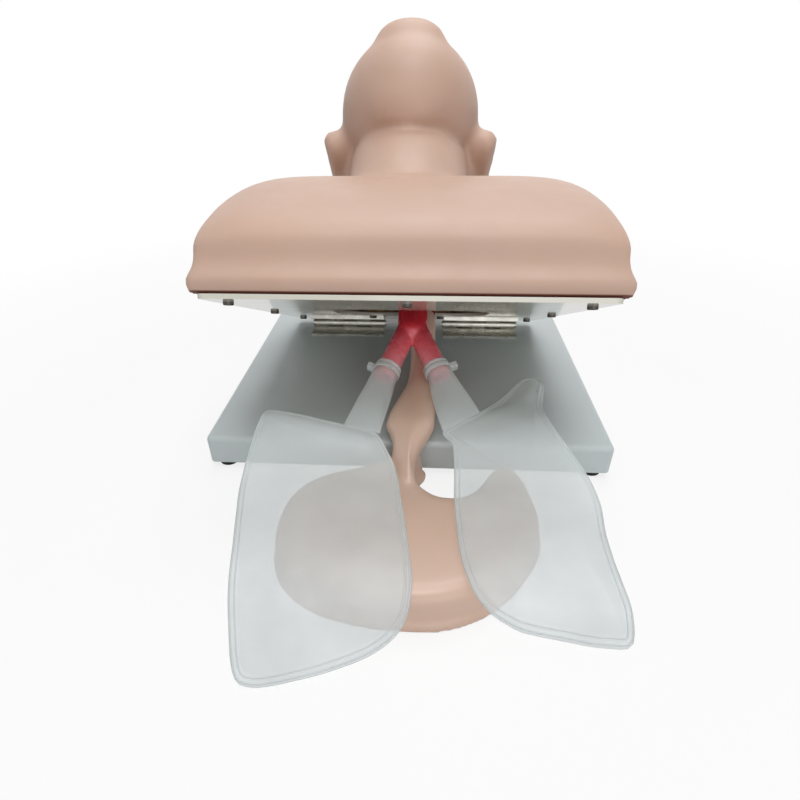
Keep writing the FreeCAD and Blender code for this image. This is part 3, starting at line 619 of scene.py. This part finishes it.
# Distance from the hinge line and height over the tray of the lungs' upper film
DRAPE = (
    (-140, 9), (-170, 10), (-200, 13), (-228, 19), (-250, 16.5), (-275, 9), (-305, 5), (-350, 4.5),
    (-400, 4.5), (-418, 1), (-438, -14), (-462, -27.5), (-490, -28),
)
FILM_HALF = 2.6
LUNG_OUTLINES = {
    "left": (
        (-25, -256), (-12, -278), (-5, -299), (-1, -325), (4, -354), (8, -385), (10, -408),
        (6, -428), (-10, -442), (-38, -453), (-66, -460.4), (-86, -462.4), (-96, -456.3),
        (-103, -434), (-112, -390), (-120, -354), (-128, -315), (-131, -280), (-130, -250),
        (-124, -230), (-108, -232), (-90, -238), (-70, -244), (-52, -249), (-37, -253),
    ),
    "right": (
        (31, -252), (39, -264), (40, -290), (39, -325), (40, -365), (44, -396), (53, -417),
        (72, -428), (98, -433), (125, -435), (141, -434), (144, -421), (142, -395), (143, -360),
        (147, -325), (144, -293), (135, -264), (125, -238), (122, -210), (127, -184),
        (128, -168), (114, -163), (98, -175), (82, -196), (66, -219), (46, -237),
    ),
}
RING_POINTS = 150
# Distance in from the outline and thickness of the rings over the welded rim, in millimetres;
# those of WELD_RINGS are counted from the weld
OUTER_RINGS = ((0.0, 0.7), (0.7, 1.1), (1.4, 2.3), (2.1, 1.1))
WELD_RINGS = ((0.0, 0.9), (0.8, 2.2), (1.6, 1.1), (3.0, 1.4))
# The rings further in, as shares of the way from the middle of the lung
SHEET_SHARES = (0.93, 0.86, 0.78, 0.70, 0.61, 0.52, 0.43, 0.34, 0.25, 0.16, 0.07)
# Tip of each bronchus, the way it points, and the middle, reach and line of the neck's end
NECKS = {
    "left": (
        (-23.5, -191, 65.5), (-0.3388, -0.831, -0.4413), (-39, -252, 47.5), 16.5,
        (0.968, -0.25, 0),
    ),
    "right": (
        (30, -189.5, 66.5), (0.3974, -0.8119, -0.4277), (48, -237.5, 49.5), 22.0,
        (0.727, 0.686, 0),
    ),
}
# A neck's mouth on its bronchus: distance past the tip and radius; the tie sits in the middle
MOUTH_STATIONS = (
    (-8, 10.5), (-13.4, 10.7), (-14, 12.2), (-13, 12.4), (-11, 11.7), (-9.6, 11.6), (-5.4, 11.6),
    (-4.2, 12.3), (-1, 12.2),
)
NECK_START = 12.2
NECK_STEPS = 16
NECK_POINTS = 56
# How thick the neck still is at shares of its way
NECK_HEIGHTS = ((0, 0.35, 0.8, 1), (12.0, 8.8, 3.6, 1.0))
# Distance in from the outline and radius of the two welded lines; the second lies at the weld
WELD_LINES = ((1.0, 0.5), (0.6, 0.35))
WELD_SIDES = 6
WRINKLE_SEEDS = (3.0, 10.0)


def drape_height(y):
    """Height of the lungs' middle over the table, in millimetres, at a distance from the hinges."""
    ys = [p[0] for p in DRAPE][::-1]
    zs = [p[1] for p in DRAPE][::-1]
    smooth = sum(np.interp(y + shift, ys, zs) for shift in (-8, -4, 0, 4, 8)) / 5
    return smooth + TRAY_TOP / MM - FILM_HALF


def closed_loop(points, count):
    """Evenly spaced places on a smooth closed line through the given ones."""
    knots = [np.array(p, float) for p in points]
    fine = []
    for i in range(len(knots)):
        a, b, c, d = (knots[(i + k) % len(knots)] for k in (-1, 0, 1, 2))
        for t in np.linspace(0, 1, 24, endpoint=False):
            fine.append(0.5 * (2 * b + (c - a) * t + (2 * a - 5 * b + 4 * c - d) * t * t
                               + (3 * b - a - 3 * c + d) * t ** 3))
    fine = np.array(fine + [fine[0]])
    run = np.concatenate([[0], np.cumsum(np.linalg.norm(np.diff(fine, axis=0), axis=1))])
    wanted = np.linspace(0, run[-1], count, endpoint=False)
    return np.stack([np.interp(wanted, run, fine[:, k]) for k in (0, 1)], 1)


def loop_inset(loop, distance):
    """The line moved inwards by a distance."""
    ahead = np.roll(loop, -2, 0) - np.roll(loop, 2, 0)
    across = np.stack([ahead[:, 1], -ahead[:, 0]], 1)
    across /= np.linalg.norm(across, axis=1)[:, None]
    area = (loop[:, 0] * np.roll(loop[:, 1], -1) - np.roll(loop[:, 0], -1) * loop[:, 1]).sum()
    return loop + across * distance * (-1 if area > 0 else 1)


def lung_relief(side, x, y):
    """Soft folds in the film, in millimetres."""
    if side == "left":
        ridge = 6.0 * bell(y + 0.262 * (x + 124), -240, 10) * np.clip((x + 140) / 30, 0, 1)
        return ridge * np.clip((-16 - x) / 20, 0, 1)
    corner = 13.0 * bell(np.hypot(x - 119, (y + 172) * 0.8), 0, 20)
    crease = 4.0 * bell((x - 60) - (y + 222) * 1.1, 20, 9) * bell(y, -200, 24)
    valley = -2.5 * bell(np.hypot(x - 70, y + 240), 0, 16)
    return corner + crease + valley


def wrinkle(x, y, seed):
    """Small unevenness of a film, in millimetres."""
    first = noise.noise(Vector((x / 34, y / 46, seed)))
    second = noise.noise(Vector((x / 13, y / 20, seed + 5)))
    return 1.5 * first + 0.45 * second


def make_lung(side, seed, material):
    s = sizes()
    loop = closed_loop(LUNG_OUTLINES[side], RING_POINTS)
    weld = s.film_weld / MM
    steps = list(OUTER_RINGS) + [(weld + distance, thick) for distance, thick in WELD_RINGS]
    rings = [(loop_inset(loop, distance), thick) for distance, thick in steps]
    inner = rings[-1][0]
    centre = inner.mean(0)
    edge = rings[-1][1]
    full = s.film_fill / MM
    for share in SHEET_SHARES:
        thick = edge + (full - edge) * min(1.0, (1 - share) * 3.2)
        rings.append((centre + (inner - centre) * share, thick))
    bm = bmesh.new()
    for face in (1, -1):
        loops = []
        for ring, thick in rings:
            z = drape_height(ring[:, 1]) + lung_relief(side, ring[:, 0], ring[:, 1])
            verts = []
            for (x, y), height in zip(ring, z):
                lift = height + wrinkle(x, y, seed) + face * thick / 2
                verts.append(bm.verts.new((x * MM, (y + HINGE_Y) * MM, lift * MM)))
            loops.append([bm.edges.new((a, b)) for a, b in zip(verts, verts[1:] + verts[:1])])
        for first, second in zip(loops, loops[1:]):
            bmesh.ops.bridge_loops(bm, edges=first + second)
        hub = bmesh.ops.contextual_create(bm, geom=loops[-1])["faces"]
        bmesh.ops.poke(bm, faces=hub)
        if face == 1:
            rim = loops[0]
        else:
            bmesh.ops.bridge_loops(bm, edges=rim + loops[0])
    add_rings(bm, neck_rings(side))
    bmesh.ops.recalc_face_normals(bm, faces=bm.faces)
    mesh = bpy.data.meshes.new("lung_film_" + side)
    bm.to_mesh(mesh)
    bm.free()
    return new_piece("lung_film_" + side, mesh, material)


def add_rings(bm, rings, closed=False):
    """A skin over rings of places in millimetres, in the frame; open ones end in a cap."""
    loops = []
    for ring in rings:
        verts = [bm.verts.new((x * MM, y * MM, z * MM)) for x, y, z in ring]
        loops.append([bm.edges.new((a, b)) for a, b in zip(verts, verts[1:] + verts[:1])])
    for first, second in zip(loops, loops[1:]):
        bmesh.ops.bridge_loops(bm, edges=first + second)
    if closed:
        bmesh.ops.bridge_loops(bm, edges=loops[-1] + loops[0])
    else:
        bmesh.ops.contextual_create(bm, geom=loops[-1])


def neck_rings(side):
    """The lung's neck: turned in at its mouth, tied on the bronchus, then spread flat."""
    tip, run, foot, reach, line = NECKS[side]
    tip = Vector(tip)
    run = Vector(run)
    foot = Vector(foot)
    rings = [(tip + run * along, run, radius, radius, 0.0) for along, radius in MOUTH_STATIONS]
    for step in range(1, NECK_STEPS + 1):
        share = step / NECK_STEPS
        way = run.lerp((foot - tip).normalized(), min(1.0, share * 1.6)).normalized()
        middle = tip.lerp(foot, share) + run * 5.0 * share * (1 - share)
        wide = NECK_START + (reach - NECK_START) * share
        high = np.interp(share, *NECK_HEIGHTS)
        rings.append((middle, way, wide, high, share))
    made = []
    for middle, way, wide, high, share in rings:
        across = UP.cross(way).normalized().lerp(Vector(line), share ** 2).normalized()
        upward = way.cross(across).normalized()
        ring = []
        for i in range(NECK_POINTS):
            angle = 2 * math.pi * i / NECK_POINTS
            fold = 0.35 * math.sin(6 * angle + 5 * share) * math.sin(math.pi * share)
            seam = 1.3 * max(bell(math.sin(angle), 0, 0.13) - 0.2, 0) * min(1.0, share * 4)
            place = middle + across * (wide + fold + seam) * math.cos(angle)
            place += upward * (high + fold) * math.sin(angle)
            ring.append((place.x, place.y + HINGE_Y, place.z))
        made.append(ring)
    return made


def make_welds(side, seed, material):
    """The two welded lines along a lung's rim, as fine beads on its upper film."""
    weld = sizes().film_weld / MM
    loop = closed_loop(LUNG_OUTLINES[side], RING_POINTS * 2)
    bm = bmesh.new()
    for start, (inset_by, radius) in zip((0, weld), WELD_LINES):
        line = loop_inset(loop, start + inset_by)
        z = drape_height(line[:, 1]) + lung_relief(side, line[:, 0], line[:, 1])
        centres = [
            Vector((x, y + HINGE_Y, height + wrinkle(x, y, seed) + 0.9))
            for (x, y), height in zip(line, z)
        ]
        rings = []
        for i, centre in enumerate(centres):
            way = (centres[(i + 1) % len(centres)] - centres[i - 1]).normalized()
            across = UP.cross(way).normalized()
            upward = way.cross(across)
            ring = []
            for k in range(WELD_SIDES):
                angle = 2 * math.pi * k / WELD_SIDES
                place = centre + across * radius * math.cos(angle)
                ring.append(tuple(place + upward * radius * math.sin(angle)))
            rings.append(ring)
        add_rings(bm, rings, closed=True)
    bmesh.ops.recalc_face_normals(bm, faces=bm.faces)
    mesh = bpy.data.meshes.new("lung_weld_" + side)
    bm.to_mesh(mesh)
    bm.free()
    return new_piece("lung_weld_" + side, mesh, material)


def press(piece):
    """The piece gets its own copy of its mesh."""
    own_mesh(piece)


class MANIKIN_OT_lungs(bpy.types.Operator):
    """Two flat film lungs with welded rims"""

    bl_idname = "manikin.lungs"
    bl_label = "Lungs"

    def execute(self, context):
        film = film_finish("lung_film", 0.50)
        weld = film_finish("lung_weld", 0.62)
        for side, seed in zip(SIDES, WRINKLE_SEEDS):
            sheet = make_lung(side, seed, film)
            line = make_welds(side, seed, weld)
            for piece in (sheet, line):
                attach(piece, "base")
                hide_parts("lung_" + side)
                press(piece)
        return {"FINISHED"}


# Stomach and airway

# Heights over the table, in millimetres, between which the smoothing of the stomach sets in
STOMACH_SMOOTHED = (9, 15)


def spread_tube(points):
    """New X of each place: the stomach's tube is wider halfway, and its foot leans to the left."""
    x = points[:, 0] / MM
    y = points[:, 1] / MM - HINGE_Y
    along = np.clip((y + 262) / 18, 0, 1) * np.clip((-145 - y) / 30, 0, 1)
    share = np.clip((x - 4.5) / 16, -1, 1)
    x = x + along * np.where(share < 0, 6.0, 3.5) * share
    foot = bell(y, -283, 21) * np.clip((x - 2) / 12, 0, 1) * (x < 32)
    low = np.clip((32 - points[:, 2] / MM) / 14, 0, 1) * np.clip((y + 318) / 16, 0, 1)
    return (x - (9.0 + 7.0 * low) * foot) * MM


class MANIKIN_OT_stomach(bpy.types.Operator):
    """Moulded stomach with its gullet tube"""

    bl_idname = "manikin.stomach"
    bl_label = "Stomach"

    def execute(self, context):
        mesh = cad_copy("stomach", sizes().stomach_voxel)
        height = points_of(mesh)[:, 2] / MM
        low, high = STOMACH_SMOOTHED
        weights = np.clip((height - low) / (high - low), 0.02, 1)
        mesh = smoothed(mesh, 22, weights)
        points = points_of(mesh)
        points[:, 0] = spread_tube(points)
        put_points(mesh, points)
        mesh = smoothed(mesh, 10, level=True)
        material = stomach_finish()
        cut_at = Vector((0, HINGE.y - STOMACH_CUT, 0))
        for name, side in (("stomach_moulding", 1), ("stomach_tube", -1)):
            bm = bmesh.new()
            bm.from_mesh(mesh)
            geom = bm.verts[:] + bm.edges[:] + bm.faces[:]
            bmesh.ops.bisect_plane(
                bm, geom=geom, plane_co=cut_at, plane_no=(0, side, 0), clear_outer=True,
            )
            open_edges = [e for e in bm.edges if e.is_boundary]
            bmesh.ops.holes_fill(bm, edges=open_edges)
            for edge in open_edges:
                edge.smooth = False
            bmesh.ops.recalc_face_normals(bm, faces=bm.faces)
            half = bpy.data.meshes.new(name)
            bm.to_mesh(half)
            bm.free()
            piece = new_piece(name, half, material)
            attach(piece, "base")
            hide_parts("stomach")
            if side < 0:
                press(piece)
        return {"FINISHED"}


class MANIKIN_OT_airway(bpy.types.Operator):
    """Forked silicone airway and its cable ties"""

    bl_idname = "manikin.airway"
    bl_label = "Airway"

    def execute(self, context):
        mesh = smoothed(cad_copy("bronchi", sizes().airway_voxel), 10)
        piece = new_piece("bronchi_silicone", mesh, silicone_finish())
        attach(piece, "base")
        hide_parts("bronchi")
        press(piece)
        nylon = plain_finish("tie_nylon", linear(232, 236, 236), 0.3, Transmission_Weight=0.2)
        for side in SIDES:
            node = "cable_tie_" + side
            tie = new_piece("tie_" + side, smoothed(cad_copy(node, 0.0005), 3), nylon)
            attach(tie, "base")
            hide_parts(node)
            press(tie)
        return {"FINISHED"}


class MANIKIN_OT_finishes(bpy.types.Operator):
    """Finishes on the rigid parts of the frame"""

    bl_idname = "manikin.finishes"
    bl_label = "Finishes"

    def execute(self, context):
        nickel = metal_finish("hinge_nickel", linear(200, 198, 190), 0.32, (1, 1, 1))
        zinc = metal_finish("zinc_screw", linear(205, 205, 196), 0.28)
        dark = metal_finish("dark_screw", linear(92, 88, 84), 0.38)
        wood = wood_finish()
        bone = plain_finish("skull_plastic", linear(226, 220, 202), 0.5)
        pink = plain_finish("mouth_pink", linear(206, 132, 128), 0.35, Subsurface_Weight=0.1)
        red = plain_finish("airway_red", linear(150, 52, 50), 0.35)
        tooth = plain_finish("tooth_white", linear(236, 230, 212), 0.2, Coat_Weight=0.4)
        foot = plain_finish("foot_rubber", linear(38, 38, 38), 0.8, 900, 0.3)
        chosen = {
            "base_tray": tray_finish(), "bust_plate": plate_finish(), "rubber_feet": foot,
            "rim_battens": wood, "head_saddle": wood, "skull": bone, "lower_jaw": bone,
            "palate": pink, "tongue": pink, "upper_teeth": tooth, "lower_teeth": tooth,
            "larynx": red, "windpipe": red, "gullet": red,
            "bust_screws": dark, "saddle_screws": dark,
            "foot_screws": zinc, "foot_nuts": zinc, "hinge_base_screws": zinc,
            "hinge_base_nuts": zinc, "hinge_plate_screws": zinc, "hinge_plate_nuts": zinc,
        }
        for side in SIDES:
            for kind in ("hinge_base_leaf_", "hinge_plate_leaf_", "hinge_pin_"):
                chosen[kind + side] = nickel
        for node, material in chosen.items():
            dress(node, material)
        round_edges("bust_plate", 0.0005)
        return {"FINISHED"}


# Stage

CAMERA_PLACE = (0.013366, HINGE.y - 0.634343, TRAY_TOP + 0.272268)
CAMERA_TURN = (55.0909, 0.6407, 3.5803)
FOCAL_PIXELS = 539.146
PICTURE_MIDDLE = (390.418, 439.270)
PICTURE_SIZE = 800
STAGE_MIDDLE = (0, 0, 0.12)
# Name, place, power and size of each lamp
LAMPS = (
    ("key", (0.1, -0.55, 1.9), 16, 1.0),
    ("fill", (0.45, -1.5, 0.4), 6.5, 1.3),
    ("back", (0.1, 0.7, 1.9), 12, 1.0),
)
FLOOR_SIZE = 12
# The floor's own glow for the camera grows from the first share to the second between two distances
FLOOR_GLOW = {"From Min": 0.35, "From Max": 0.9, "To Min": 0.80, "To Max": 1.0}
# Colour and strength of the surround as it lights the part, and as the camera sees it
SURROUND_LIGHT = ((0.97, 0.985, 1, 1), 0.26)
SURROUND_SEEN = ((1, 1, 1, 1), 1.0)


def soft_lamp(name, place, power, size):
    data = bpy.data.lights.new(name, "AREA")
    data.energy = power
    data.shape = "RECTANGLE"
    data.size = size
    data.size_y = size
    lamp = bpy.data.objects.new(name, data)
    lamp.location = place
    lamp.rotation_euler = (Vector(STAGE_MIDDLE) - Vector(place)).to_track_quat("-Z", "Y").to_euler()
    bpy.context.scene.collection.objects.link(lamp)


def add_floor():
    """A pale floor that keeps the part's shadow near it and turns white further away."""
    bm = bmesh.new()
    bmesh.ops.create_grid(bm, x_segments=1, y_segments=1, size=FLOOR_SIZE)
    mesh = bpy.data.meshes.new("floor")
    bm.to_mesh(mesh)
    bm.free()
    f = Finish("floor_white")
    f.colour(f.ramp(f.noise(3, 2), (0.3, 0.86), (0.7, 0.88)))
    f.set(Roughness=0.9, Specular_IOR_Level=0.1)
    path = f.node("ShaderNodeLightPath")
    glow = f.node("ShaderNodeEmission")
    glow.inputs["Strength"].default_value = 1.0
    away = f.node("ShaderNodeVectorMath", operation="LENGTH")
    f.link(f.place, away.inputs[0])
    spread = f.node("ShaderNodeMapRange")
    for socket, value in FLOOR_GLOW.items():
        spread.inputs[socket].default_value = value
    f.link(away.outputs["Value"], spread.inputs["Value"])
    share = f.node("ShaderNodeMath", operation="MULTIPLY")
    f.link(spread.outputs[0], share.inputs[1])
    f.link(path.outputs["Is Camera Ray"], share.inputs[0])
    f.blended(share, glow)
    new_piece("floor", mesh, f.material)


def add_surround(scene):
    """White to the camera and in reflections, and a weak even light for the rest."""
    world = bpy.data.worlds.new("surround")
    scene.world = world
    world.use_nodes = True
    tree = world.node_tree
    tree.nodes.clear()
    rays = tree.nodes.new("ShaderNodeLightPath")
    share = rays.outputs["Is Camera Ray"]
    for kind in ("Is Glossy Ray", "Is Transmission Ray"):
        either = tree.nodes.new("ShaderNodeMath")
        either.operation = "MAXIMUM"
        tree.links.new(share, either.inputs[0])
        tree.links.new(rays.outputs[kind], either.inputs[1])
        share = either.outputs[0]
    both = tree.nodes.new("ShaderNodeMixShader")
    tree.links.new(share, both.inputs[0])
    for socket, (colour, strength) in ((1, SURROUND_LIGHT), (2, SURROUND_SEEN)):
        light = tree.nodes.new("ShaderNodeBackground")
        light.inputs[0].default_value = colour
        light.inputs[1].default_value = strength
        tree.links.new(light.outputs[0], both.inputs[socket])
    out = tree.nodes.new("ShaderNodeOutputWorld")
    tree.links.new(both.outputs[0], out.inputs[0])


def add_camera(scene):
    data = bpy.data.cameras.new("camera")
    camera = bpy.data.objects.new("camera", data)
    scene.collection.objects.link(camera)
    camera.location = CAMERA_PLACE
    camera.rotation_euler = [math.radians(v) for v in CAMERA_TURN]
    data.sensor_width = 36
    data.lens = FOCAL_PIXELS / PICTURE_SIZE * data.sensor_width
    data.shift_x = (PICTURE_SIZE / 2 - PICTURE_MIDDLE[0]) / PICTURE_SIZE
    data.shift_y = (PICTURE_MIDDLE[1] - PICTURE_SIZE / 2) / PICTURE_SIZE
    data.clip_start = 0.01
    scene.camera = camera


class MANIKIN_OT_stage(bpy.types.Operator):
    """Floor, lamps, white surround and camera"""

    bl_idname = "manikin.stage"
    bl_label = "Stage"

    def execute(self, context):
        scene = context.scene
        add_floor()
        add_surround(scene)
        for lamp in LAMPS:
            soft_lamp(*lamp)
        add_camera(scene)
        scene.view_settings.view_transform = "Standard"
        return {"FINISHED"}


class MANIKIN_PT_panel(bpy.types.Panel):
    bl_label = "Training manikin"
    bl_space_type = "VIEW_3D"
    bl_region_type = "UI"
    bl_category = "Manikin"

    def draw(self, context):
        for group in (sizes(), colours()):
            for name in group.__annotations__:
                self.layout.prop(group, name)
        for kind in OPERATORS:
            self.layout.operator(kind.bl_idname)


OPERATORS = (
    MANIKIN_OT_finishes,
    MANIKIN_OT_bust,
    MANIKIN_OT_stomach,
    MANIKIN_OT_airway,
    MANIKIN_OT_lungs,
    MANIKIN_OT_stage,
)


def register():
    for kind in (ManikinSizes, ManikinColours, *OPERATORS, MANIKIN_PT_panel):
        bpy.utils.register_class(kind)
    bpy.types.Scene.manikin_sizes = bpy.props.PointerProperty(type=ManikinSizes)
    bpy.types.Scene.manikin_colours = bpy.props.PointerProperty(type=ManikinColours)


def unregister():
    del bpy.types.Scene.manikin_sizes
    del bpy.types.Scene.manikin_colours
    for kind in (MANIKIN_PT_panel, *OPERATORS, ManikinColours, ManikinSizes):
        bpy.utils.unregister_class(kind)


def main():
    register()
    bpy.ops.manikin.finishes()
    bpy.ops.manikin.bust()
    bpy.ops.manikin.stomach()
    bpy.ops.manikin.airway()
    bpy.ops.manikin.lungs()
    bpy.ops.manikin.stage()


if __name__ == "__main__":
    main()
